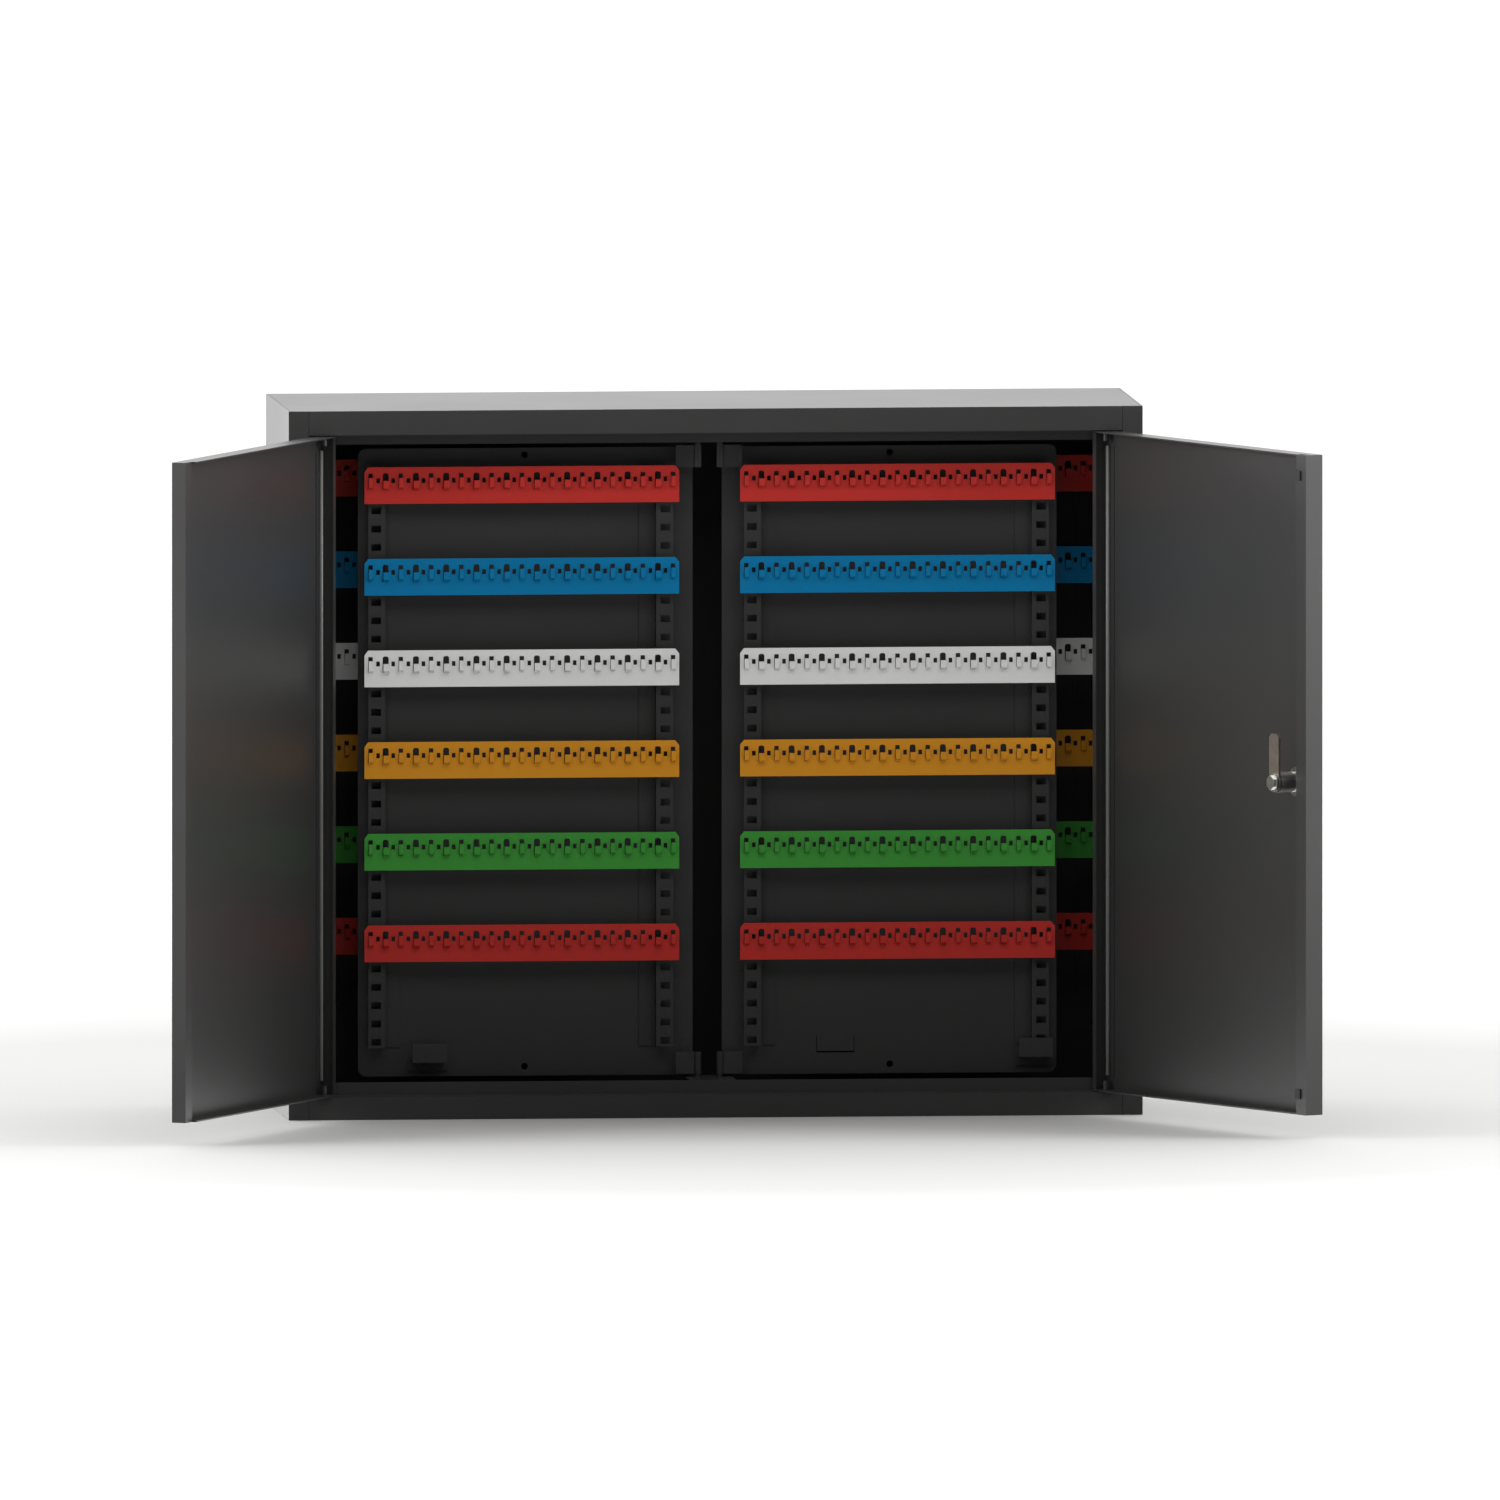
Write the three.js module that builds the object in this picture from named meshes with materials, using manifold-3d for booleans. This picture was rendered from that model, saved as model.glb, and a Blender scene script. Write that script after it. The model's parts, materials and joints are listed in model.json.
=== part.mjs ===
// A wall key cabinet in folded sheet steel, in millimetres.
// +X is to the right as one faces the doors, +Y to the back, +Z up.
// The origin is the centre of the underside. The two front doors stand open.
import * as THREE from 'three';
import * as BufferGeometryUtils from 'three/addons/utils/BufferGeometryUtils.js';
import Module from 'manifold-3d';

const wasm = await Module();
wasm.setup();

// Body
const WIDTH = 700;
const DEPTH = 200;
const HEIGHT = 580;
const SHEET = 1.2;
const GAP = 0.3;
const HALF = WIDTH / 2;
const FRONT = -DEPTH / 2;
const BACK = DEPTH / 2;
const JAMB_WIDTH = 16.4;
const HEADER_HEIGHT = 19.8;
const SILL_HEIGHT = 18.5;
const REBATE_DEPTH = 20.5;
const LIP_Y = FRONT + REBATE_DEPTH;
const SIDE_LIP = 35.5;
const LEVEL_LIP = 29;
const REAR_FLANGE = 14;
const LIP_NOTCH = 11.5;
const WALL_HOLE = { radius: 4, x: 260, low: 60, high: 530 };

// Doors
const DOOR_INNER_X = 0.75;
const DOOR_OUTER_X = 331.6;
const DOOR_LOW = 19;
const DOOR_HIGH = 559.3;
const DOOR_DEPTH = 16;
const HINGE_EDGE_DEPTH = 12.5;
const LEFT_EDGE_DEPTH = 12;
const DOOR_RELIEF = 5;
const DOOR_PIVOT = { x: 320.6, y: -93.5 };
const DOOR_OPEN = THREE.MathUtils.degToRad(117);
const PIN_RADIUS = 2.5;
const PIN_HOLE_RADIUS = 3;

// Lock
const LOCK = { x: 33, z: 290, barrel: 8.5, plug: 5.5, bracket: 9.5 };
const LOCK_INNER_Y = -70;
const CAM = { reach: 40, half: 7.2, clip: 3, hole: 3.3 };
const RIGHT_LIP = 15;
const LEFT_LIP = 14;

// Swinging key panels
const PANEL = { inner: 12, outer: 286.3, low: 29.8, high: 543.6, y: -25, corner: 7 };
const PANEL_SLIT = { left: 89.5, right: 120.7, low: 47, high: 61, line: 1.2, side: 0.5 };
const PANEL_HOLE = { x: 149.7, low: 37.4, high: 538, radius: 2.75 };
const PANEL_PIVOT = { x: 9, y: -40 };
const LEAF = { width: 14.8, height: 18, thick: 1.8, low: 31.5, high: 528 };

// Key strips and their rails
const STRIP = { width: 258, height: 30, thick: 1.5, chamfer: 4, low: 125, pitch: 75 };
const STRIP_COLOURS = ['red', 'green', 'yellow', 'white', 'blue', 'red'];
const FRONT_STRIPS = { x: 154, y: -47 };
const REAR_STRIPS = { x: 215, y: 40 };
const RAIL = {
  offset: 118, low: 53.8, high: 528.8, face: 14, foot: 13, slots: 32, first: 58.8, pitch: 15,
};
const RAIL_SLOT = { width: 8, height: 5.6 };
const FRONT_RAIL_Y = -38;
const REAR_RAIL_Y = 49;

// Colours
const COLOURS = {
  body: 0x34373b,
  red: 0xb02a26,
  green: 0x35803a,
  yellow: 0xd69628,
  white: 0xd9d9d6,
  blue: 0x066a9c,
  chrome: 0xb9bcc0,
  steel: 0x8d8a85,
};

const cabinet = new THREE.Group();

function material(colour) {
  const metal = colour === 'chrome' || colour === 'steel';
  return new THREE.MeshStandardMaterial({
    color: COLOURS[colour],
    roughness: metal ? 0.25 : 0.4,
    metalness: metal ? 1 : 0,
  });
}

function solid(geometry) {
  geometry.deleteAttribute('normal');
  geometry.deleteAttribute('uv');
  const merged = BufferGeometryUtils.mergeVertices(geometry, 1e-4);
  return new wasm.Manifold(new wasm.Mesh({
    numProp: 3,
    vertProperties: new Float32Array(merged.attributes.position.array),
    triVerts: new Uint32Array(merged.index.array),
  }));
}

function geometryOf(manifold) {
  const mesh = manifold.getMesh();
  const geometry = new THREE.BufferGeometry();
  geometry.setAttribute('position', new THREE.BufferAttribute(mesh.vertProperties, 3));
  geometry.setIndex(new THREE.BufferAttribute(mesh.triVerts, 1));
  return geometry;
}

// A block between two corners.
function block(x0, x1, y0, y1, z0, z1) {
  const box = new THREE.BoxGeometry(Math.abs(x1 - x0), Math.abs(y1 - y0), Math.abs(z1 - z0));
  box.translate((x0 + x1) / 2, (y0 + y1) / 2, (z0 + z1) / 2);
  return solid(box);
}

// A round bar along an axis, centred on a point.
function bar(radius, length, axis, x, y, z, sides = 24) {
  const cylinder = new THREE.CylinderGeometry(radius, radius, length, sides);
  if (axis === 'z') {
    cylinder.rotateX(Math.PI / 2);
  } else if (axis === 'x') {
    cylinder.rotateZ(Math.PI / 2);
  }
  cylinder.translate(x, y, z);
  return solid(cylinder);
}

function union(...pieces) {
  return pieces.reduce((whole, piece) => whole.add(piece));
}

function subtract(whole, cuts) {
  return cuts.reduce((rest, cut) => rest.subtract(cut), whole);
}

function add(parent, name, manifold, colour) {
  const mesh = new THREE.Mesh(geometryOf(manifold), material(colour));
  mesh.name = name;
  parent.add(mesh);
}

// Mirrors a solid made for the right side over to the side wanted.
function onSide(manifold, side) {
  return side < 0 ? manifold.mirror([1, 0, 0]) : manifold;
}

// Side: outer wall, jamb, rebate wall, door stop lip and rear flange in one folded sheet.
function sidePanel(side) {
  const jambX = HALF - JAMB_WIDTH;
  const lipX = HALF - SIDE_LIP;
  const flangeX = HALF - SHEET - REAR_FLANGE;
  const flangeY = BACK - SHEET - GAP;
  const top = HEIGHT - SHEET - GAP;
  const sheet = union(
    block(HALF - SHEET, HALF, FRONT, BACK, 0, HEIGHT),
    block(jambX, HALF, FRONT, FRONT + SHEET, 0, HEIGHT),
    block(jambX, jambX + SHEET, FRONT, LIP_Y + SHEET, SHEET + GAP, top),
    block(
      lipX, jambX + SHEET, LIP_Y, LIP_Y + SHEET, SILL_HEIGHT + GAP, HEIGHT - HEADER_HEIGHT - GAP,
    ),
    block(flangeX, HALF, flangeY - SHEET, flangeY, SHEET + GAP, top),
  );
  const notch = block(
    HALF - SIDE_LIP - 1, HALF - SIDE_LIP + 5, LIP_Y - 1, LIP_Y + 2 * SHEET,
    (HEIGHT - LIP_NOTCH) / 2, (HEIGHT + LIP_NOTCH) / 2,
  );
  return onSide(sheet.subtract(notch), side);
}

// Header or sill, made as the sill: floor, front face, rebate ledge, lip and rear flange.
function levelPanel(faceHeight) {
  const inner = HALF - SHEET - GAP;
  const between = HALF - JAMB_WIDTH - GAP;
  const lipY = LIP_Y + SHEET + GAP;
  const rear = BACK - SHEET - GAP;
  const flangeX = HALF - SHEET - REAR_FLANGE - GAP;
  const sheet = union(
    block(-inner, inner, FRONT + SHEET + GAP, rear, 0, SHEET),
    block(-between, between, FRONT, FRONT + 2 * SHEET + GAP, 0, SHEET),
    block(-between, between, FRONT, FRONT + SHEET, 0, faceHeight),
    block(-between, between, FRONT, lipY + SHEET, faceHeight - SHEET, faceHeight),
    block(-between, between, lipY, lipY + SHEET, faceHeight - SHEET, LEVEL_LIP),
    block(-flangeX, flangeX, rear - SHEET, rear, 0, REAR_FLANGE),
  );
  const holes = [-1, 1].map((side) => bar(
    PIN_HOLE_RADIUS, 6 * SHEET, 'z', side * DOOR_PIVOT.x, DOOR_PIVOT.y, faceHeight - SHEET / 2,
  ));
  return subtract(sheet, holes);
}

function backPanel() {
  const inner = HALF - SHEET - GAP;
  const plate = block(-inner, inner, BACK - SHEET, BACK, 0, HEIGHT);
  const holes = [];
  for (const x of [-WALL_HOLE.x, WALL_HOLE.x]) {
    for (const z of [WALL_HOLE.low, WALL_HOLE.high]) {
      holes.push(bar(WALL_HOLE.radius, 8, 'y', x, BACK, z, 16));
    }
  }
  return subtract(plate, holes);
}

// Folded Z rail: face, standing web and a foot that turns towards the rail's neighbour.
function rail(x, turn, faceY, footY) {
  const left = x - RAIL.face / 2;
  const right = x + RAIL.face / 2;
  const web = turn > 0 ? [right - SHEET, right] : [left, left + SHEET];
  const foot = turn > 0 ? [right - SHEET, right + RAIL.foot] : [left - RAIL.foot, left + SHEET];
  return union(
    block(left, right, faceY, faceY + SHEET, RAIL.low, RAIL.high),
    block(web[0], web[1], faceY, footY, RAIL.low, RAIL.high),
    block(foot[0], foot[1], footY - SHEET, footY, RAIL.low, RAIL.high),
  );
}

// The same rail with its ladder of slots, on which the strips hook.
function slottedRail(x, turn, faceY, footY) {
  const slots = [];
  for (let k = 0; k < RAIL.slots; k += 1) {
    const z = RAIL.first + k * RAIL.pitch;
    const shift = turn > 0 ? -SHEET / 2 : SHEET / 2;
    slots.push(block(
      x + shift - RAIL_SLOT.width / 2, x + shift + RAIL_SLOT.width / 2,
      faceY - 1, faceY + SHEET + 1, z - RAIL_SLOT.height / 2, z + RAIL_SLOT.height / 2,
    ));
  }
  return subtract(rail(x, turn, faceY, footY), slots);
}

// Key strip blank with clipped top corners.
function keyStrip(x, y, z) {
  const half = STRIP.width / 2;
  const outline = new THREE.Shape([
    new THREE.Vector2(x - half, z),
    new THREE.Vector2(x + half, z),
    new THREE.Vector2(x + half, z + STRIP.height - STRIP.chamfer),
    new THREE.Vector2(x + half - STRIP.chamfer, z + STRIP.height),
    new THREE.Vector2(x - half + STRIP.chamfer, z + STRIP.height),
    new THREE.Vector2(x - half, z + STRIP.height - STRIP.chamfer),
  ]);
  const plate = new THREE.ExtrudeGeometry(outline, { depth: STRIP.thick, bevelEnabled: false });
  plate.rotateX(Math.PI / 2);
  plate.translate(0, y + STRIP.thick, 0);
  return solid(plate);
}

// Bracket that carries a key panel pivot: a plate with a turned-down rear leg on the cabinet floor.
function pivotPlate() {
  const half = 19.3;
  const front = LIP_Y + 2 * SHEET + 2 * GAP;
  const rear = front + 58;
  const top = LEVEL_LIP;
  const plate = union(
    block(-half, half, front, rear, top - 2, top),
    block(-half, half, rear - 2, rear, SHEET + GAP, top),
    block(-half, half, rear - 2, rear + 12, SHEET + GAP, SHEET + GAP + 2),
  );
  const holes = [-1, 1].map((side) => bar(
    PIN_HOLE_RADIUS, 12, 'z', side * PANEL_PIVOT.x, PANEL_PIVOT.y, top,
  ));
  return subtract(plate, holes);
}

// Door: a flat pan whose flanges turn back; the free edge ends in a return lip.
function doorPan(side) {
  const depth = side > 0 ? DOOR_DEPTH : LEFT_EDGE_DEPTH;
  const lip = side > 0 ? RIGHT_LIP : LEFT_LIP;
  const rear = FRONT + DOOR_DEPTH;
  const hingeRear = FRONT + HINGE_EDGE_DEPTH;
  const reliefX = DOOR_OUTER_X - DOOR_RELIEF;
  const pan = union(
    block(DOOR_INNER_X, DOOR_OUTER_X, FRONT, FRONT + SHEET, DOOR_LOW, DOOR_HIGH),
    block(DOOR_INNER_X, DOOR_INNER_X + SHEET, FRONT, FRONT + depth, DOOR_LOW, DOOR_HIGH),
    block(DOOR_INNER_X, DOOR_INNER_X + lip, FRONT + depth - SHEET, FRONT + depth, DOOR_LOW, DOOR_HIGH),
    block(DOOR_OUTER_X - SHEET, DOOR_OUTER_X, FRONT, hingeRear, DOOR_LOW, DOOR_HIGH),
    block(DOOR_OUTER_X - 5, DOOR_OUTER_X, hingeRear - SHEET, hingeRear, DOOR_LOW, DOOR_HIGH),
    block(DOOR_INNER_X + lip, reliefX, FRONT, rear, DOOR_LOW, DOOR_LOW + SHEET),
    block(DOOR_INNER_X + lip, reliefX, FRONT, rear, DOOR_HIGH - SHEET, DOOR_HIGH),
    block(DOOR_INNER_X, DOOR_OUTER_X, FRONT, hingeRear - 2, DOOR_LOW, DOOR_LOW + SHEET),
    block(DOOR_INNER_X, DOOR_OUTER_X, FRONT, hingeRear - 2, DOOR_HIGH - SHEET, DOOR_HIGH),
  );
  const edgeCut = block(-3, 3, -3, 3, 0, HEIGHT)
    .rotate([0, 0, 45])
    .translate([DOOR_OUTER_X + 2.4, FRONT - 1.0, 0]);
  const holes = [DOOR_LOW, DOOR_HIGH].map(
    (z) => bar(PIN_HOLE_RADIUS, 8, 'z', DOOR_PIVOT.x, DOOR_PIVOT.y, z),
  );
  const cuts = [edgeCut, ...holes];
  if (side > 0) {
    cuts.push(bar(LOCK.barrel + GAP, 8, 'y', LOCK.x, FRONT, LOCK.z));
  }
  return onSide(subtract(pan, cuts), side);
}

// Steel pin that a door turns on, held in the header or the sill.
function hingePin(side, end) {
  const length = 16;
  const centre = end > 0 ? HEIGHT - HEADER_HEIGHT - 1 : SILL_HEIGHT + 1;
  const tip = centre + end * (length / 2 - 1);
  const x = side * DOOR_PIVOT.x;
  const shank = bar(PIN_RADIUS, length, 'z', x, DOOR_PIVOT.y, centre);
  const head = bar(PIN_RADIUS + 2, 2, 'z', x, DOOR_PIVOT.y, tip);
  return shank.add(head);
}

// Barrel with a flange on the face of the door, open along its middle for the plug.
function barrel() {
  const rear = LOCK_INNER_Y - 6;
  const sleeve = bar(LOCK.barrel, rear - FRONT, 'y', LOCK.x, (rear + FRONT) / 2, LOCK.z);
  const flange = bar(LOCK.barrel + 2.5, 1.5, 'y', LOCK.x, FRONT - GAP - 0.75, LOCK.z);
  const bridge = bar(LOCK.barrel, 2, 'y', LOCK.x, FRONT, LOCK.z);
  const bore = bar(LOCK.plug + GAP, 60, 'y', LOCK.x, FRONT, LOCK.z);
  return union(sleeve, flange, bridge).subtract(bore);
}

// Bracket plate that keys the barrel to the door skin.
function lockBracket() {
  const half = LOCK.bracket;
  const foot = FRONT + SHEET + GAP;
  const lipX = DOOR_INNER_X + RIGHT_LIP;
  const plate = block(lipX - 6, LOCK.x + half, foot, foot + 1.5, LOCK.z - half, LOCK.z + half);
  return plate.subtract(bar(LOCK.barrel + GAP, 8, 'y', LOCK.x, foot, LOCK.z));
}

function lockNut() {
  const foot = FRONT + SHEET + 2 * GAP + 1.5;
  const nut = bar(12, 4, 'y', LOCK.x, foot + 2, LOCK.z, 6);
  return nut.subtract(bar(LOCK.barrel + GAP, 12, 'y', LOCK.x, foot, LOCK.z));
}

function lockPlug() {
  const rear = LOCK_INNER_Y - 5.8;
  const plug = bar(LOCK.plug, rear - FRONT + 1, 'y', LOCK.x, (rear + FRONT - 1) / 2, LOCK.z);
  const keyway = block(LOCK.x - 0.7, LOCK.x + 0.7, FRONT - 4, FRONT + 9, LOCK.z - 3.6, LOCK.z + 3.6);
  const tail = block(LOCK.x - 3, LOCK.x + 3, rear - 1, rear + 2.6, LOCK.z - 3, LOCK.z + 3);
  return plug.add(tail).subtract(keyway);
}

// Cam: a flat bar with clipped corners that stands up when unlocked and turns towards the free edge.
function lockCam() {
  const y = LOCK_INNER_Y - 4.4;
  const { reach, half, clip, hole } = CAM;
  const outline = new THREE.Shape([
    new THREE.Vector2(LOCK.x - half, LOCK.z),
    new THREE.Vector2(LOCK.x + half, LOCK.z),
    new THREE.Vector2(LOCK.x + half, LOCK.z + reach - clip),
    new THREE.Vector2(LOCK.x + half - clip, LOCK.z + reach),
    new THREE.Vector2(LOCK.x - half + clip, LOCK.z + reach),
    new THREE.Vector2(LOCK.x - half, LOCK.z + reach - clip),
  ]);
  const arm = new THREE.ExtrudeGeometry(outline, { depth: 2, bevelEnabled: false });
  arm.rotateX(Math.PI / 2);
  arm.translate(0, y + 1, 0);
  const root = bar(half + 1, 2, 'y', LOCK.x, y, LOCK.z);
  const square = block(LOCK.x - hole, LOCK.x + hole, y - 3, y + 3, LOCK.z - hole, LOCK.z + hole);
  return root.add(solid(arm)).subtract(square);
}

function camNut() {
  const y = LOCK_INNER_Y - 2.8;
  const nut = bar(6, 3, 'y', LOCK.x, y + 1.5, LOCK.z, 6);
  const washer = bar(7.5, 1, 'y', LOCK.x, y + 0.5, LOCK.z);
  return nut.add(washer);
}

// Flat key panel with rounded free corners and two fixing holes.
function keyPanel(side) {
  const { inner, outer, low, high, corner } = PANEL;
  const outline = new THREE.Shape();
  outline.moveTo(inner, low);
  outline.lineTo(outer - corner, low);
  outline.absarc(outer - corner, low + corner, corner, -Math.PI / 2, 0, false);
  outline.lineTo(outer, high - corner);
  outline.absarc(outer - corner, high - corner, corner, 0, Math.PI / 2, false);
  outline.lineTo(inner, high);
  outline.closePath();
  const options = { depth: SHEET, bevelEnabled: false, curveSegments: 6 };
  const plate = new THREE.ExtrudeGeometry(outline, options);
  plate.rotateX(Math.PI / 2);
  plate.translate(0, PANEL.y + SHEET, 0);
  const holes = [PANEL_HOLE.low, PANEL_HOLE.high].map(
    (z) => bar(PANEL_HOLE.radius, 8, 'y', PANEL_HOLE.x, PANEL.y, z, 16),
  );
  if (side > 0) {
    const { left, right, low: foot, high: head, line, side: cut } = PANEL_SLIT;
    const front = PANEL.y - SHEET;
    const rear = PANEL.y + 2 * SHEET;
    holes.push(block(left, right, front, rear, foot, foot + line));
    holes.push(block(left, left + cut, front, rear, foot, head));
    holes.push(block(right - cut, right, front, rear, foot, head));
  }
  return onSide(subtract(solid(plate), holes), side);
}

// Pull tab: a shelf that stands out of the panel with an upturned finger lip.
function pullTab(side) {
  const middle = side > 0 ? 268 : 229;
  const low = side > 0 ? 43.5 : 42;
  const foot = PANEL.y - GAP;
  const tab = union(
    block(middle - 16, middle + 16, foot - SHEET, foot, low - 8, low + SHEET),
    block(middle - 14, middle + 14, foot - 16, foot, low, low + SHEET),
    block(middle - 14, middle + 14, foot - 16, foot - 16 + SHEET, low, low + 15.5),
  );
  return onSide(tab, side);
}

// Pivot leaf: a forward plate beside the barrel, a leg back to a pad on the panel, and the pivot pin.
function pivotLeaf(side, end) {
  const low = end > 0 ? LEAF.high : LEAF.low;
  const high = low + LEAF.height;
  const pad = PANEL.y - GAP;
  const near = PANEL.inner + 0.4;
  const far = near + LEAF.width;
  const face = PANEL_PIVOT.y - LEAF.thick / 2;
  const middle = (low + high) / 2;
  const leaf = union(
    block(near, far, face, face + LEAF.thick, low, high),
    block(near, near + LEAF.thick, face, pad, low, high),
    block(near, near + 9, pad - LEAF.thick, pad, low, high),
    bar(PIN_RADIUS + 0.5, LEAF.height, 'z', PANEL_PIVOT.x, PANEL_PIVOT.y, middle),
    block(PANEL_PIVOT.x, near + 0.5, face + 0.4, face + LEAF.thick - 0.4, low, high),
    bar(PIN_RADIUS, LEAF.height, 'z', PANEL_PIVOT.x, PANEL_PIVOT.y, middle + end * 7),
  );
  return onSide(leaf, side);
}

function addRails(parent, group, side, make, x, faceY, footY) {
  add(parent, `${group}_inner_rail`, onSide(make(x - RAIL.offset, 1, faceY, footY), side), 'body');
  add(parent, `${group}_outer_rail`, onSide(make(x + RAIL.offset, -1, faceY, footY), side), 'body');
}

function addStrips(parent, group, side, place) {
  STRIP_COLOURS.forEach((colour, row) => {
    const z = STRIP.low + row * STRIP.pitch;
    add(parent, `${group}_strip_${row + 1}`, keyStrip(side * place.x, place.y, z), colour);
  });
}

function addBody() {
  add(cabinet, 'bottom_panel', levelPanel(SILL_HEIGHT), 'body');
  add(cabinet, 'top_panel', levelPanel(HEADER_HEIGHT).mirror([0, 0, 1]).translate([0, 0, HEIGHT]), 'body');
  add(cabinet, 'back_panel', backPanel(), 'body');
  add(cabinet, 'bottom_pivot_plate', pivotPlate(), 'body');
  add(cabinet, 'top_pivot_plate', pivotPlate().mirror([0, 0, 1]).translate([0, 0, HEIGHT]), 'body');
}

function addSide(side, word) {
  add(cabinet, `${word}_side_panel`, sidePanel(side), 'body');
  add(cabinet, `${word}_top_hinge_pin`, hingePin(side, 1), 'steel');
  add(cabinet, `${word}_bottom_hinge_pin`, hingePin(side, -1), 'steel');
  addRails(cabinet, `${word}_rear`, side, rail, REAR_STRIPS.x, REAR_RAIL_Y, BACK - SHEET - GAP);
  addStrips(cabinet, `${word}_rear`, side, REAR_STRIPS);
}

function addKeyPanel(side, word) {
  add(cabinet, `${word}_key_panel`, keyPanel(side), 'body');
  addRails(cabinet, `${word}_panel`, side, slottedRail, FRONT_STRIPS.x, FRONT_RAIL_Y, PANEL.y - GAP);
  addStrips(cabinet, `${word}_panel`, side, FRONT_STRIPS);
  add(cabinet, `${word}_pull_tab`, pullTab(side), 'body');
  add(cabinet, `${word}_top_pivot_leaf`, pivotLeaf(side, 1), 'steel');
  add(cabinet, `${word}_bottom_pivot_leaf`, pivotLeaf(side, -1), 'steel');
}

// A door hangs in a group that turns about its pins, so it is drawn shut and stands open.
function addDoor(side, word) {
  const hinge = new THREE.Group();
  hinge.position.set(side * DOOR_PIVOT.x, DOOR_PIVOT.y, 0);
  hinge.rotation.z = side * DOOR_OPEN;
  const door = new THREE.Group();
  door.position.set(-side * DOOR_PIVOT.x, -DOOR_PIVOT.y, 0);
  add(door, `${word}_door`, doorPan(side), 'body');
  if (side > 0) {
    add(door, 'lock_barrel', barrel(), 'chrome');
    add(door, 'lock_bracket', lockBracket(), 'steel');
    add(door, 'lock_nut', lockNut(), 'chrome');
    add(door, 'lock_plug', lockPlug(), 'chrome');
    add(door, 'lock_cam', lockCam(), 'steel');
    add(door, 'cam_nut', camNut(), 'chrome');
  }
  hinge.add(door);
  cabinet.add(hinge);
}

addBody();
for (const [side, word] of [[-1, 'left'], [1, 'right']]) {
  addSide(side, word);
  addKeyPanel(side, word);
  addDoor(side, word);
}

export default cabinet;
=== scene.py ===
"""A key cabinet in anthracite powder-coated steel with coloured hook strips."""
import json
import math

import bmesh
import bpy
from mathutils import Matrix, Vector


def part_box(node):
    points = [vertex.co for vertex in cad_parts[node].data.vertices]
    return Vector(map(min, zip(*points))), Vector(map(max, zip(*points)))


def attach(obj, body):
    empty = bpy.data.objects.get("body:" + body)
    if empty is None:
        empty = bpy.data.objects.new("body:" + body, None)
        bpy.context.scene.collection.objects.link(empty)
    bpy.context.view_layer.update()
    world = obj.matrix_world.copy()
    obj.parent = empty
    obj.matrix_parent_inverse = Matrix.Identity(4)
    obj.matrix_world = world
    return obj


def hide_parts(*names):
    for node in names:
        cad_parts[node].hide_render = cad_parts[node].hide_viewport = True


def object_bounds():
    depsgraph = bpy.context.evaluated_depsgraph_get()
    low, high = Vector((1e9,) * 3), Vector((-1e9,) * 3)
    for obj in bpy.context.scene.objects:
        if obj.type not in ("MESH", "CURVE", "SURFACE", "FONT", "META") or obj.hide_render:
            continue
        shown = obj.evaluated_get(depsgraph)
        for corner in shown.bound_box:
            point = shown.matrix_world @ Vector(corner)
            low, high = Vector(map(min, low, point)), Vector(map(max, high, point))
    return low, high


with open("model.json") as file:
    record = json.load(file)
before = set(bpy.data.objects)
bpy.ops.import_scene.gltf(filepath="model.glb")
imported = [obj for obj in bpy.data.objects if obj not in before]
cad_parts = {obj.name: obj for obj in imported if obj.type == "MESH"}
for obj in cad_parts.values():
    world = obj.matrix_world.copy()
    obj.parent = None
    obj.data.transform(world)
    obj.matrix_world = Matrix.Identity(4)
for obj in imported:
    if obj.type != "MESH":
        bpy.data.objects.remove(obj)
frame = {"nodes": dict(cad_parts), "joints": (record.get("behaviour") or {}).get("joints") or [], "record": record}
CAD_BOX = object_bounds()

MM = 0.001
EDGE_RADIUS = 0.5 * MM
SIDES = (("left", -1), ("right", 1))
ROWS = 6
BODY_SLOT = "body_powder_coat"
COLOURS = ("red", "green", "yellow", "white", "blue", "red")

# Key strip, measured down from its top edge
STRIP_WIDTH = 258 * MM
STRIP_HEIGHT = 30 * MM
STRIP_SHEET = 1.2 * MM
STRIP_CLIP = 4 * MM
HOOK_PITCH = 12.4 * MM
HOOK_COUNT = 21
NARROW = {"width": 3.7 * MM, "top": 5.2 * MM, "root": 17.8 * MM, "out": 4.8 * MM, "tip": 8.4 * MM}
WIDE = {"width": 4.9 * MM, "top": 4.8 * MM, "root": 18.6 * MM, "out": 6.6 * MM, "tip": 10.7 * MM}
ARCH = 1.4 * MM
ARCH_INSET = 0.02 * MM
TAG_HOLE = {"width": 3.0 * MM, "top": 9.0 * MM, "low": 13.0 * MM}
TONGUE_SHEET = 1.1 * MM
TONGUE_GAP = 0.05 * MM
TIP_FLARE = 0.9 * MM
BEND_STEPS = 6
BEND_RISE = 0.45

# Rails
RAIL_SHEET = 1.2 * MM
RAIL_FACE = 14 * MM
RAIL_FOOT = 13 * MM
SLOT_PITCH = 15 * MM
SLOT_SIZE = (8.4 * MM, 6.2 * MM)
SLOT_COUNT = 32
SLOT_MARGIN = 5 * MM
FIT_GAP = 0.3 * MM

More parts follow.
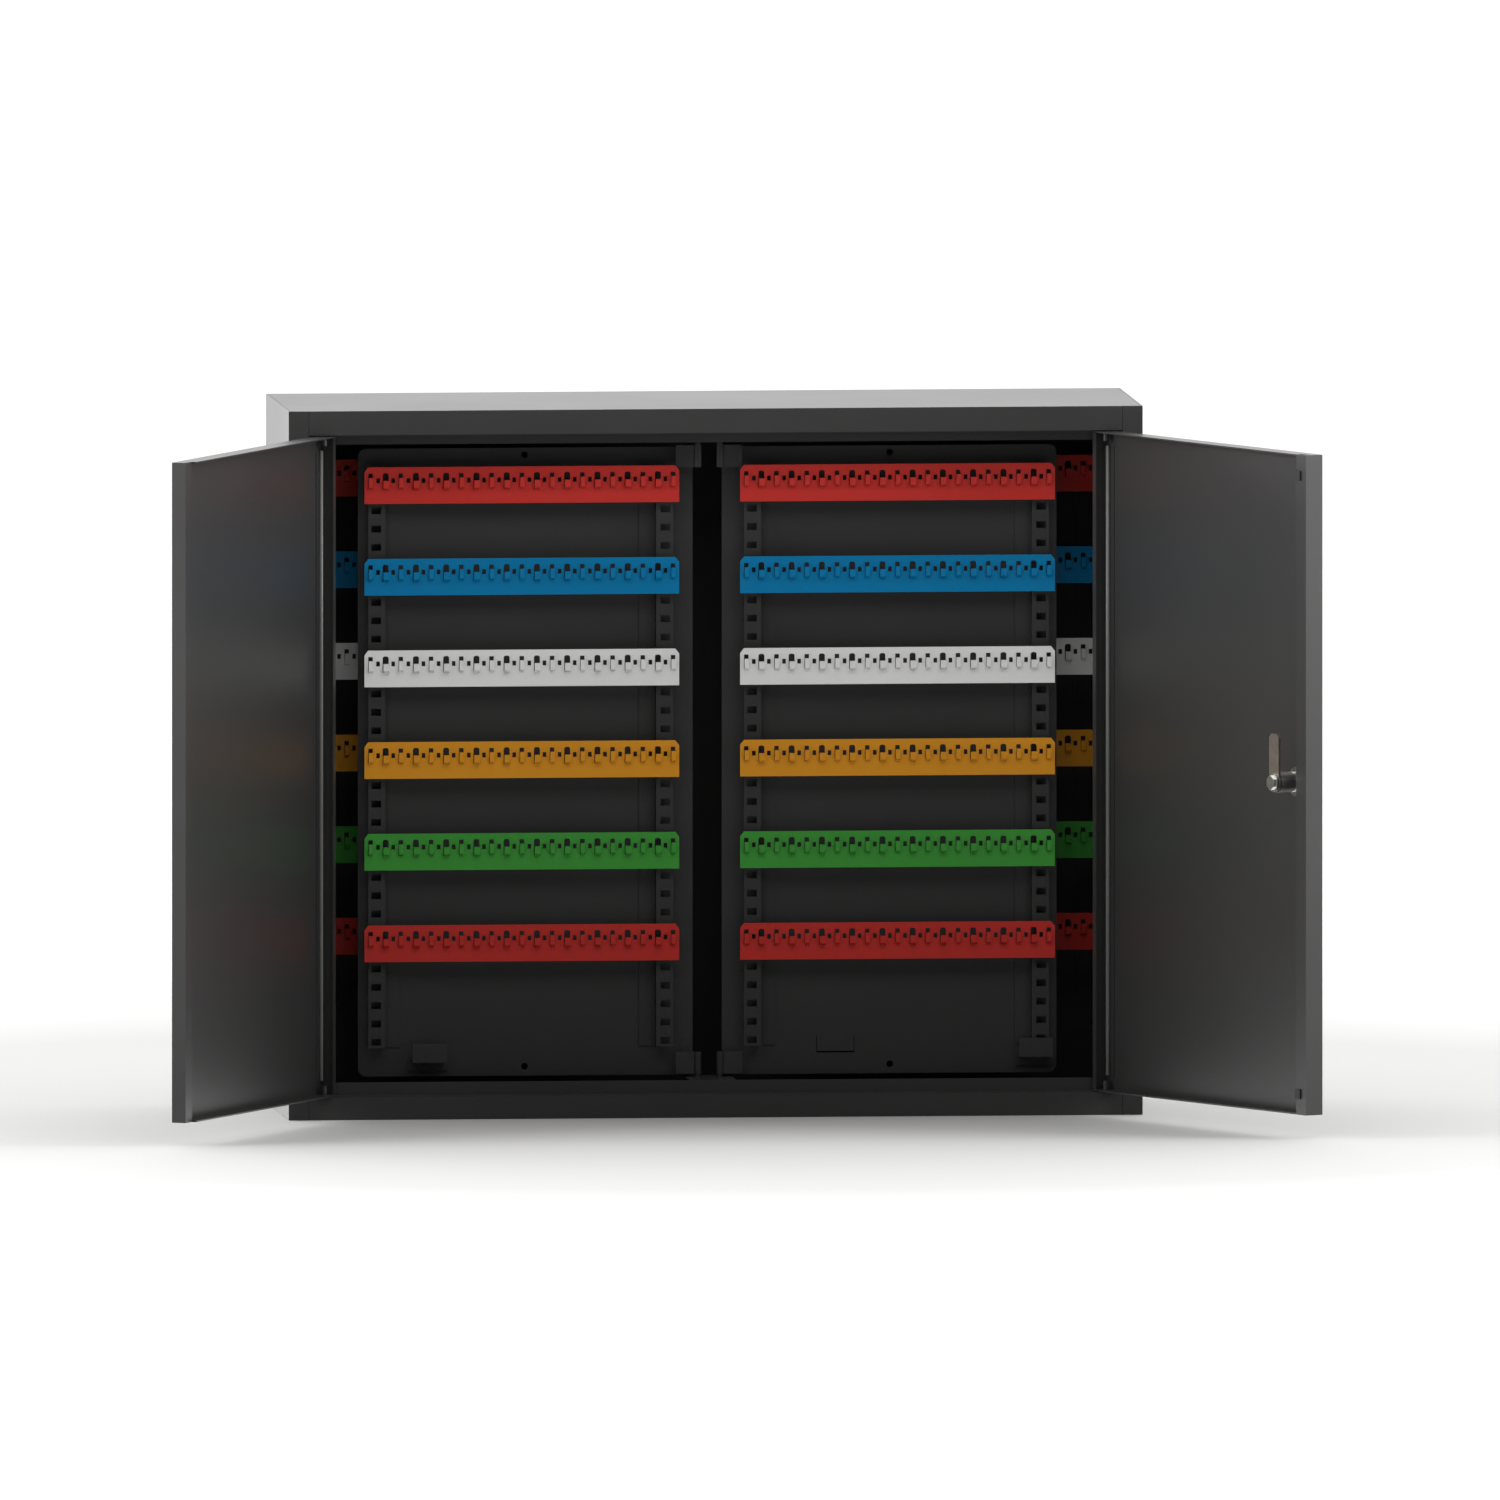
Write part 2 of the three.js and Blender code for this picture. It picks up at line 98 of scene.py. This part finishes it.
# Doors, as drawn shut
DOOR_EDGE_X = 331.6 * MM
DOOR_FACE_Y = -100 * MM
DOOR_DEPTH = 16 * MM
DOOR_SHEET = 1.2 * MM
HEM_RADIUS = 1.7 * MM
HEM_INSET = 8 * MM
HEM_MARGIN = 12 * MM
BAR_SIDES = 12
# a dark strip beside each hinge bead, standing in for painted shade in the gap
SHADE_STRIP_WIDTH = 6 * MM
SHADE_STRIP_THICK = 0.5 * MM
DOOR_LOW = 19 * MM
DOOR_HIGH = 559.3 * MM
FREE_LIP_X = 12 * MM
BUFFER_INSET = 17 * MM
BUFFER_REACH = 4 * MM
BUFFER_CLIP = 1 * MM
BUFFER_THICK = 1.5 * MM
BUFFER_EDGE = 0.4 * MM

# Paint, as noise scales in cycles per metre and bump depths in metres
TONE_SCALE = 9.0
SPECKLE_SCALE = 2600.0
PEEL_SCALE = 900.0
PEEL_DEPTH = 0.0002
GRAIN_SCALE = 900.0
STAIN_SCALE = 120.0
GRAIN_DEPTH = 0.0001
ANTHRACITE = (0.030, 0.030, 0.0295)
STRIP_PAINTS = {
    "red": (0.45, 0.028, 0.022),
    "green": (0.045, 0.27, 0.038),
    "yellow": (0.60, 0.25, 0.015),
    "white": (0.70, 0.70, 0.69),
    "blue": (0.001, 0.165, 0.36),
}

# Floor, with a painted shadow: its tone fades from darker near the object to even white far away
FLOOR_REACH = 30.0
FLOOR_NEAR = 0.9
FLOOR_FAR = 2.0
FLOOR_PAINTED_SHADOW_TONE = (0.57, 0.57, 0.565)
FLOOR_FAR_TONE = (0.95, 0.95, 0.95)

# Camera and light
VIEW_AZIMUTH = math.radians(-5.35)
VIEW_ELEVATION = math.radians(4.2)
VIEW_WIDTH = 1.2243
VIEW_RIGHT = 0.0373
VIEW_UP = 0.2926
CAMERA_DISTANCE = 4.0
FRONT_GLOW = 0.075
BACK_GLOW = 1.7
TOP_POWER = 27
TOP_PLACE = (0.0, -2.4, 2.1)
SIDE_POWER = 62
SIDE_PLACE = (2.9, -0.9, 1.0)
RIM_POWER = 40
RIM_PLACE = (-3.0, 2.2, 0.5)
LIGHT_AIM = (0.0, 0.0, 0.3)
TOP_AIM = (0.0, 0.0, 0.2)


# ---------------------------------------------------------------- materials

def new_material(name):
    mat = bpy.data.materials.new(name)
    mat.use_nodes = True
    tree = mat.node_tree
    shader = tree.nodes["Principled BSDF"]
    place = tree.nodes.new("ShaderNodeTexCoord")
    return mat, tree, shader, place


def noise(tree, place, scale, detail=2.0, stretch=None):
    node = tree.nodes.new("ShaderNodeTexNoise")
    node.inputs["Scale"].default_value = scale
    node.inputs["Detail"].default_value = detail
    if stretch is None:
        tree.links.new(place.outputs["Object"], node.inputs["Vector"])
    else:
        mapping = tree.nodes.new("ShaderNodeMapping")
        mapping.inputs["Scale"].default_value = stretch
        tree.links.new(place.outputs["Object"], mapping.inputs["Vector"])
        tree.links.new(mapping.outputs["Vector"], node.inputs["Vector"])
    return node


def ramp(tree, source, low, high, start=0.3, end=0.7):
    node = tree.nodes.new("ShaderNodeValToRGB")
    first, last = node.color_ramp.elements
    first.position = start
    first.color = (*low, 1.0)
    last.position = end
    last.color = (*high, 1.0)
    tree.links.new(source, node.inputs["Fac"])
    return node


def spread(tree, source, low, high):
    node = tree.nodes.new("ShaderNodeMapRange")
    node.inputs["To Min"].default_value = low
    node.inputs["To Max"].default_value = high
    tree.links.new(source, node.inputs["Value"])
    return node


def add_bump(tree, shader, source, strength, distance):
    node = tree.nodes.new("ShaderNodeBump")
    node.inputs["Strength"].default_value = strength
    node.inputs["Distance"].default_value = distance
    tree.links.new(source, node.inputs["Height"])
    tree.links.new(node.outputs["Normal"], shader.inputs["Normal"])


def powder_coat(name, colour, roughness, specular=0.5, peel=0.12):
    """Baked powder paint: a fine orange peel, a faint speckle and slow changes of tone."""
    mat, tree, shader, place = new_material(name)
    tone = noise(tree, place, TONE_SCALE, 3.0)
    speckle = noise(tree, place, SPECKLE_SCALE, 1.0)
    blend = tree.nodes.new("ShaderNodeMath")
    blend.operation = "ADD"
    blend.use_clamp = True
    half_tone = spread(tree, tone.outputs["Fac"], 0.1, 0.5)
    half_speckle = spread(tree, speckle.outputs["Fac"], 0.1, 0.5)
    tree.links.new(half_tone.outputs["Result"], blend.inputs[0])
    tree.links.new(half_speckle.outputs["Result"], blend.inputs[1])
    dark = tuple(0.86 * c for c in colour)
    light = tuple(min(1.0, 1.14 * c) for c in colour)
    paint = ramp(tree, blend.outputs["Value"], dark, light, 0.25, 0.95)
    tree.links.new(paint.outputs["Color"], shader.inputs["Base Color"])
    sheen_map = spread(tree, tone.outputs["Fac"], roughness - 0.03, roughness + 0.03)
    tree.links.new(sheen_map.outputs["Result"], shader.inputs["Roughness"])
    orange_peel = noise(tree, place, PEEL_SCALE, 2.0)
    add_bump(tree, shader, orange_peel.outputs["Fac"], peel, PEEL_DEPTH)
    shader.inputs["IOR"].default_value = 1.5
    shader.inputs["Specular IOR Level"].default_value = specular
    return mat


def plated(name, colour, roughness, grain, metallic=1.0):
    """Plated or brushed metal, its grain drawn out along one direction."""
    mat, tree, shader, place = new_material(name)
    lines = noise(tree, place, GRAIN_SCALE, 2.0, grain)
    stain = noise(tree, place, STAIN_SCALE, 3.0)
    shade = ramp(tree, stain.outputs["Fac"], tuple(0.82 * c for c in colour), colour)
    tree.links.new(shade.outputs["Color"], shader.inputs["Base Color"])
    gloss = spread(tree, lines.outputs["Fac"], roughness - 0.06, roughness + 0.08)
    tree.links.new(gloss.outputs["Result"], shader.inputs["Roughness"])
    shader.inputs["Metallic"].default_value = metallic
    add_bump(tree, shader, lines.outputs["Fac"], 0.15, GRAIN_DEPTH)
    return mat


def make_materials():
    """One material per slot, and two for small pieces that share the body's slot; the hem's lighter paint is a
    painted highlight, and the black rubber also serves as painted shade.
    """
    made = {}
    for name, rgb in STRIP_PAINTS.items():
        made[f"{name}_powder_coat"] = powder_coat(f"{name}_paint", rgb, 0.32, 0.08)
    made[BODY_SLOT] = powder_coat("anthracite_paint", ANTHRACITE, 0.39, 0.5, 0.07)
    # painted highlight: the hem bead is painted lighter than the body's anthracite to stand in for the light line
    # it catches
    made["hem"] = powder_coat("hem_painted_highlight", (0.13, 0.13, 0.128), 0.30)
    made["chrome"] = plated("nickel_plate", (0.84, 0.83, 0.81), 0.30, (1.0, 1.0, 1.0))
    made["bright_steel"] = plated("zinc_plate", (0.60, 0.55, 0.49), 0.34, (1.0, 1.0, 0.08))
    # black rubber for the buffers, also used on the dark strip that stands in for painted shade beside each door's
    # hinge bead
    made["rubber"] = powder_coat("black_rubber_and_painted_shade", (0.012, 0.012, 0.012), 0.7)
    return made


# ---------------------------------------------------------------- mesh tools

def finish_mesh(bm, name):
    bmesh.ops.recalc_face_normals(bm, faces=bm.faces)
    mesh = bpy.data.meshes.new(name)
    bm.to_mesh(mesh)
    bm.free()
    return mesh


def prism(bm, outline, axis, low, high):
    """Adds a closed prism: outline points in the plane across axis, swept from low to high."""
    rings = []
    for level in (low, high):
        ring = []
        for a, b in outline:
            point = {"x": (level, a, b), "y": (a, level, b), "z": (a, b, level)}[axis]
            ring.append(bm.verts.new(point))
        rings.append(ring)
    first, last = rings
    bm.faces.new(first)
    bm.faces.new(list(reversed(last)))
    count = len(outline)
    for i in range(count):
        j = (i + 1) % count
        bm.faces.new((first[i], last[i], last[j], first[j]))


def pierced_sheet(bm, columns, rows, is_hole, thick):
    """Adds a flat sheet on y = 0..thick from grid lines in x and z, open where is_hole says so."""
    verts = {}

    def vert(i, j):
        if (i, j) not in verts:
            verts[i, j] = bm.verts.new((columns[i], 0.0, rows[j]))
        return verts[i, j]

    front = []
    for i in range(len(columns) - 1):
        for j in range(len(rows) - 1):
            middle = ((columns[i] + columns[i + 1]) / 2, (rows[j] + rows[j + 1]) / 2)
            if not is_hole(*middle):
                front.append(bm.faces.new((vert(i, j), vert(i + 1, j), vert(i + 1, j + 1), vert(i, j + 1))))
    grown = bmesh.ops.extrude_face_region(bm, geom=front, use_keep_orig=True)
    moved = [g for g in grown["geom"] if isinstance(g, bmesh.types.BMVert)]
    bmesh.ops.translate(bm, verts=moved, vec=(0.0, thick, 0.0))


def offset_path(path, thick):
    """The outline of a bent sheet: a path of (y, z) points and its copy offset by thick."""
    shifted = []
    for i, (y, z) in enumerate(path):
        before = path[max(i - 1, 0)]
        after = path[min(i + 1, len(path) - 1)]
        dy, dz = after[0] - before[0], after[1] - before[1]
        size = math.hypot(dy, dz)
        shifted.append((y - dz / size * thick, z + dy / size * thick))
    return list(path) + list(reversed(shifted))


def tongue_path(hook):
    """Side view of one hook: out from its root in a smooth bend, then up to a slightly flared tip."""
    root, tip, out = -hook["root"], -hook["tip"], hook["out"]
    bend = []
    for k in range(BEND_STEPS + 1):
        angle = k / BEND_STEPS * math.pi / 2
        bend.append((-out * math.sin(angle), root + BEND_RISE * out * (1 - math.cos(angle))))
    bend.append((-out - TIP_FLARE, tip))
    return bend


def arch_corner(wall, top, side):
    """The (x, z) fill that rounds one upper corner of a wide hook's window."""
    bulge = 0.35 * ARCH
    return [(wall, top), (wall - side * ARCH, top), (wall - side * bulge, top - bulge), (wall, top - ARCH)]


def hook_strip_mesh():
    """One strip, top edge at z = 0, front face at y = 0, centred on x = 0."""
    half = STRIP_WIDTH / 2
    centres = [(k - (HOOK_COUNT - 1) / 2) * HOOK_PITCH for k in range(HOOK_COUNT)]
    cuts = []
    for k, x in enumerate(centres):
        hook = NARROW if k % 2 == 0 else WIDE
        cuts.append((x - hook["width"] / 2, x + hook["width"] / 2, -hook["root"], -hook["top"]))
        if k + 1 < HOOK_COUNT:
            middle = x + HOOK_PITCH / 2
            reach = TAG_HOLE["width"] / 2
            cuts.append((middle - reach, middle + reach, -TAG_HOLE["low"], -TAG_HOLE["top"]))
    columns = sorted({round(v, 7) for cut in cuts for v in cut[:2]} | {-half, half})
    rows = sorted({round(v, 7) for cut in cuts for v in cut[2:]} | {-STRIP_HEIGHT, 0.0})

    def is_hole(x, z):
        return any(x0 < x < x1 and z0 < z < z1 for x0, x1, z0, z1 in cuts)

    bm = bmesh.new()
    pierced_sheet(bm, columns, rows, is_hole, STRIP_SHEET)
    for v in bm.verts:
        if abs(abs(v.co.x) - half) < 1e-6 and v.co.z > -1e-6:
            v.co.z = -STRIP_CLIP
    for k, x in enumerate(centres):
        hook = NARROW if k % 2 == 0 else WIDE
        reach = hook["width"] / 2 - TONGUE_GAP
        outline = offset_path(tongue_path(hook), -TONGUE_SHEET)
        prism(bm, outline, "x", x - reach, x + reach)
        if hook is WIDE:
            for side in (-1, 1):
                corner = arch_corner(x + side * hook["width"] / 2, -hook["top"], side)
                prism(bm, corner, "y", ARCH_INSET, STRIP_SHEET - ARCH_INSET)
    return finish_mesh(bm, "hook_strip")


def rail_mesh(depth, turn):
    """Folded rail, foot at z = 0, face at y = 0, with its ladder of slots; turn is the foot's side."""
    width, height = SLOT_SIZE
    top = 2 * SLOT_MARGIN + (SLOT_COUNT - 1) * SLOT_PITCH
    shift = -turn * RAIL_SHEET / 2
    columns = [-RAIL_FACE / 2, shift - width / 2, shift + width / 2, RAIL_FACE / 2]
    rows = [0.0, top]
    for k in range(SLOT_COUNT):
        z = SLOT_MARGIN + k * SLOT_PITCH
        rows += [z - height / 2, z + height / 2]
    rows.sort()

    def is_hole(x, z):
        k = round((z - SLOT_MARGIN) / SLOT_PITCH)
        return abs(x - shift) < width / 2 and abs(z - SLOT_MARGIN - k * SLOT_PITCH) < height / 2

    bm = bmesh.new()
    pierced_sheet(bm, columns, rows, is_hole, RAIL_SHEET)
    edge = turn * RAIL_FACE / 2
    inner = edge - turn * RAIL_SHEET
    toe = edge + turn * RAIL_FOOT
    web = [(inner, RAIL_SHEET), (edge, 0.0004), (edge, depth - RAIL_SHEET),
           (toe, depth - RAIL_SHEET), (toe, depth), (inner, depth)]
    prism(bm, web, "z", 0.0, top)
    return finish_mesh(bm, "slotted_rail")


def new_piece(name, mesh, material):
    piece = bpy.data.objects.new(name, mesh)
    bpy.context.scene.collection.objects.link(piece)
    piece.data.materials.clear()
    piece.data.materials.append(material)
    return piece


def soften(piece, width=EDGE_RADIUS, segments=3):
    bevel = piece.modifiers.new("edge_radius", "BEVEL")
    bevel.width = width
    bevel.segments = segments
    bevel.limit_method = "ANGLE"
    bevel.angle_limit = math.radians(40)
    bevel.harden_normals = False


# ---------------------------------------------------------------- pieces

def place_strip(name, mesh, node, body, slot, materials, facing_back_y=None):
    """Puts a strip where a CAD strip is, or behind its panel, facing the wall."""
    low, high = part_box(node)
    piece = new_piece(name, mesh.copy(), materials[slot])
    x = (low[0] + high[0]) / 2
    if facing_back_y is None:
        piece.location = (x, low[1], high[2])
    else:
        piece.location = (x, facing_back_y, high[2])
        piece.rotation_euler = (0.0, 0.0, math.pi)
    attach(piece, body)
    if facing_back_y is None:
        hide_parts(node)


def make_strips(materials):
    """Strips before and behind each panel, with the same stand-off, and strips on the wall."""
    mesh = hook_strip_mesh()
    for side, _ in SIDES:
        panel_low, panel_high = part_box(f"{side}_key_panel")
        back_y = panel_high[1] + panel_low[1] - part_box(f"{side}_panel_strip_1")[0][1]
        for row in range(ROWS):
            slot = f"{COLOURS[row]}_powder_coat"
            swing = f"{side}_swing_panel"
            node = f"{side}_panel_strip_{row + 1}"
            place_strip(f"{side}_front_hooks_{row + 1}", mesh, node, swing, slot, materials)
            place_strip(f"{side}_back_hooks_{row + 1}", mesh, node, swing, slot, materials,
                        facing_back_y=back_y)
            place_strip(f"{side}_wall_hooks_{row + 1}", mesh, f"{side}_rear_strip_{row + 1}",
                        "cabinet", slot, materials)


def rail_middle(low, high, turn):
    """The middle of a rail's face, which lies at the end of its box away from the foot."""
    return low + RAIL_FACE / 2 if turn > 0 else high - RAIL_FACE / 2


def make_rails(materials):
    paint = materials[BODY_SLOT]
    for side, sign in SIDES:
        for place, inward in (("inner", 1), ("outer", -1)):
            node = f"{side}_rear_{place}_rail"
            low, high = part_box(node)
            turn = sign * inward
            face = rail_middle(low[0], high[0], turn)
            rail = new_piece(f"{node}_slotted", rail_mesh(high[1] - low[1], turn), paint)
            rail.location = (face, low[1], low[2])
            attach(rail, "cabinet")
            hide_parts(node)
            panel_low, panel_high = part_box(f"{side}_panel_{place}_rail")
            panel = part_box(f"{side}_key_panel")
            face = rail_middle(panel_low[0], panel_high[0], turn)
            depth = panel_high[1] - panel_low[1]
            rail = new_piece(f"{side}_back_{place}_rail", rail_mesh(depth, -turn), paint)
            rail.location = (face, panel[1][1] + depth + FIT_GAP, panel_low[2])
            rail.rotation_euler = (0.0, 0.0, math.pi)
            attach(rail, f"{side}_swing_panel")


def door_space(side):
    """Turns a place drawn with the doors shut into its place with them open, as they stand."""
    joint = next(j for j in frame["joints"] if j["name"] == f"{side}_door_hinge")
    pivot = Vector(joint["pos_m"])
    turn = Matrix.Rotation(-math.radians(joint["range_deg"][0]), 4, Vector(joint["axis"]))
    return Matrix.Translation(pivot) @ turn @ Matrix.Translation(-pivot)


def rounded_bar(bm, x, y, radius, low, high):
    """Adds an upright round bar that narrows at both ends."""
    rings = []
    waist = 0.5 * radius
    for z, r in ((low, waist), (low + waist, radius), (high - waist, radius), (high, waist)):
        angles = [2 * math.pi * k / BAR_SIDES for k in range(BAR_SIDES)]
        rings.append([bm.verts.new((x + r * math.cos(a), y + r * math.sin(a), z)) for a in angles])
    for lower, upper in zip(rings, rings[1:]):
        for k in range(BAR_SIDES):
            j = (k + 1) % BAR_SIDES
            bm.faces.new((lower[k], lower[j], upper[j], upper[k]))
    bm.faces.new(list(reversed(rings[0])))
    bm.faces.new(rings[-1])


def make_door_edges(materials):
    """A bead painted lighter as a painted highlight, and a dark strip as painted shade beside it, up the hinge
    edge of each door.
    """
    low, high = DOOR_LOW + HEM_MARGIN, DOOR_HIGH - HEM_MARGIN
    inside = DOOR_FACE_Y + DOOR_SHEET
    near = DOOR_EDGE_X - HEM_INSET - HEM_RADIUS
    for side, sign in SIDES:
        body = f"{side}_door_leaf"
        bm = bmesh.new()
        rounded_bar(bm, sign * (DOOR_EDGE_X - HEM_INSET), inside + HEM_RADIUS, HEM_RADIUS, low, high)
        bm.transform(door_space(side))
        # the bead carries the hem material, a lighter paint standing in as a painted highlight
        hem = new_piece(f"{side}_door_hem", finish_mesh(bm, "door_hem"), materials["hem"])
        for face in hem.data.polygons:
            face.use_smooth = True
        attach(hem, body)
        # a thin dark strip on the pan beside the bead: painted shade where the gap behind the lip falls dark
        bm = bmesh.new()
        strip = [(sign * near, inside), (sign * near, inside + SHADE_STRIP_THICK),
                 (sign * (near - SHADE_STRIP_WIDTH), inside + SHADE_STRIP_THICK), (sign * (near - SHADE_STRIP_WIDTH), inside)]
        prism(bm, strip, "z", low, high)
        bm.transform(door_space(side))
        shade_strip = new_piece(f"{side}_door_painted_shade_strip", finish_mesh(bm, "door_painted_shade_strip"), materials["rubber"])
        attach(shade_strip, body)


def make_buffers(materials):
    """Two small rubber buffers on the lock door's free lip."""
    y = DOOR_FACE_Y + DOOR_DEPTH
    for word, z in (("upper", DOOR_HIGH - BUFFER_INSET), ("lower", DOOR_LOW + BUFFER_INSET)):
        bm = bmesh.new()
        far = FREE_LIP_X + BUFFER_REACH
        near = FREE_LIP_X - BUFFER_REACH
        outline = [(near, z - BUFFER_REACH), (far - BUFFER_CLIP, z - BUFFER_REACH),
                   (far, z - BUFFER_REACH + BUFFER_CLIP), (far, z + BUFFER_REACH - BUFFER_CLIP),
                   (far - BUFFER_CLIP, z + BUFFER_REACH), (near, z + BUFFER_REACH)]
        prism(bm, outline, "y", y, y + BUFFER_THICK)
        bm.transform(door_space("right"))
        mesh = finish_mesh(bm, "door_buffer")
        pad = new_piece(f"{word}_door_buffer", mesh, materials["rubber"])
        soften(pad, BUFFER_EDGE, 2)
        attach(pad, "right_door_leaf")


def finish_cad_nodes(materials):
    slots = {s["node"]: s["material_slot"] for s in frame["record"]["subparts"]}
    for node, obj in frame["nodes"].items():
        obj.data.materials.clear()
        obj.data.materials.append(materials[slots[node]])
        soften(obj)


# ---------------------------------------------------------------- stage

def make_floor():
    bm = bmesh.new()
    corners = ((-1, -1), (1, -1), (1, 1), (-1, 1))
    bm.faces.new([bm.verts.new((x * FLOOR_REACH, y * FLOOR_REACH, 0.0)) for x, y in corners])
    floor = bpy.data.objects.new("floor", finish_mesh(bm, "floor"))
    bpy.context.scene.collection.objects.link(floor)
    floor.location.z = CAD_BOX[0][2] - FIT_GAP
    mat, tree, shader, place = new_material("studio_floor")
    # painted shadow: the floor's colour darkens towards the object and fades to even white further out
    distance = tree.nodes.new("ShaderNodeVectorMath")
    distance.operation = "LENGTH"
    tree.links.new(place.outputs["Object"], distance.inputs[0])
    fade = tree.nodes.new("ShaderNodeMapRange")
    fade.inputs["From Min"].default_value = FLOOR_NEAR
    fade.inputs["From Max"].default_value = FLOOR_FAR
    tree.links.new(distance.outputs["Value"], fade.inputs["Value"])
    shade = ramp(tree, fade.outputs["Result"], FLOOR_PAINTED_SHADOW_TONE, FLOOR_FAR_TONE, 0.0, 1.0)
    tree.links.new(shade.outputs["Color"], shader.inputs["Base Color"])
    shader.inputs["Roughness"].default_value = 0.9
    shader.inputs["Specular IOR Level"].default_value = 0.1
    floor.data.materials.append(mat)
    floor.visible_glossy = False


def area_light(name, place, target, size, power):
    data = bpy.data.lights.new(name, "AREA")
    data.shape = "RECTANGLE"
    data.size, data.size_y = size
    data.energy = power
    lamp = bpy.data.objects.new(name, data)
    bpy.context.scene.collection.objects.link(lamp)
    lamp.location = place
    aim = Vector(target) - Vector(place)
    lamp.rotation_euler = aim.to_track_quat("-Z", "Y").to_euler()


def make_light():
    """A white studio, bright behind and above the object and dim in front of it."""
    world = bpy.data.worlds.new("white_studio")
    bpy.context.scene.world = world
    world.use_nodes = True
    tree = world.node_tree
    background = tree.nodes["Background"]
    background.inputs["Color"].default_value = (1.0, 1.0, 1.0, 1.0)
    direction = tree.nodes.new("ShaderNodeTexCoord")
    split = tree.nodes.new("ShaderNodeSeparateXYZ")
    tree.links.new(direction.outputs["Generated"], split.inputs["Vector"])
    fade = tree.nodes.new("ShaderNodeMapRange")
    fade.interpolation_type = "SMOOTHSTEP"
    fade.inputs["From Min"].default_value = -0.75
    fade.inputs["From Max"].default_value = 0.25
    fade.inputs["To Min"].default_value = FRONT_GLOW
    fade.inputs["To Max"].default_value = BACK_GLOW
    tree.links.new(split.outputs["Y"], fade.inputs["Value"])
    tree.links.new(fade.outputs["Result"], background.inputs["Strength"])
    area_light("top_box", TOP_PLACE, TOP_AIM, (3.5, 1.2), TOP_POWER)
    for sign in (-1, 1):
        x, y, z = SIDE_PLACE
        area_light("side_box", (sign * x, y, z), LIGHT_AIM, (1.4, 1.4), SIDE_POWER)
    area_light("rim_box", RIM_PLACE, LIGHT_AIM, (2.0, 1.4), RIM_POWER)


def make_camera():
    data = bpy.data.cameras.new("camera")
    data.type = "ORTHO"
    data.ortho_scale = VIEW_WIDTH
    data.clip_end = 100.0
    camera = bpy.data.objects.new("camera", data)
    bpy.context.scene.collection.objects.link(camera)
    across = Vector((math.cos(VIEW_AZIMUTH), math.sin(VIEW_AZIMUTH), 0.0))
    level = Vector((-math.sin(VIEW_AZIMUTH), math.cos(VIEW_AZIMUTH), 0.0))
    ahead = level * math.cos(VIEW_ELEVATION) - Vector((0, 0, math.sin(VIEW_ELEVATION)))
    above = across.cross(ahead)
    centre = across * VIEW_RIGHT + above * VIEW_UP
    camera.location = centre - ahead * CAMERA_DISTANCE
    camera.rotation_euler = ahead.to_track_quat("-Z", "Y").to_euler()
    bpy.context.scene.camera = camera
    bpy.context.scene.view_settings.view_transform = "Standard"


make_camera()
make_light()
make_floor()
paints = make_materials()
finish_cad_nodes(paints)
make_strips(paints)
make_rails(paints)
make_door_edges(paints)
make_buffers(paints)
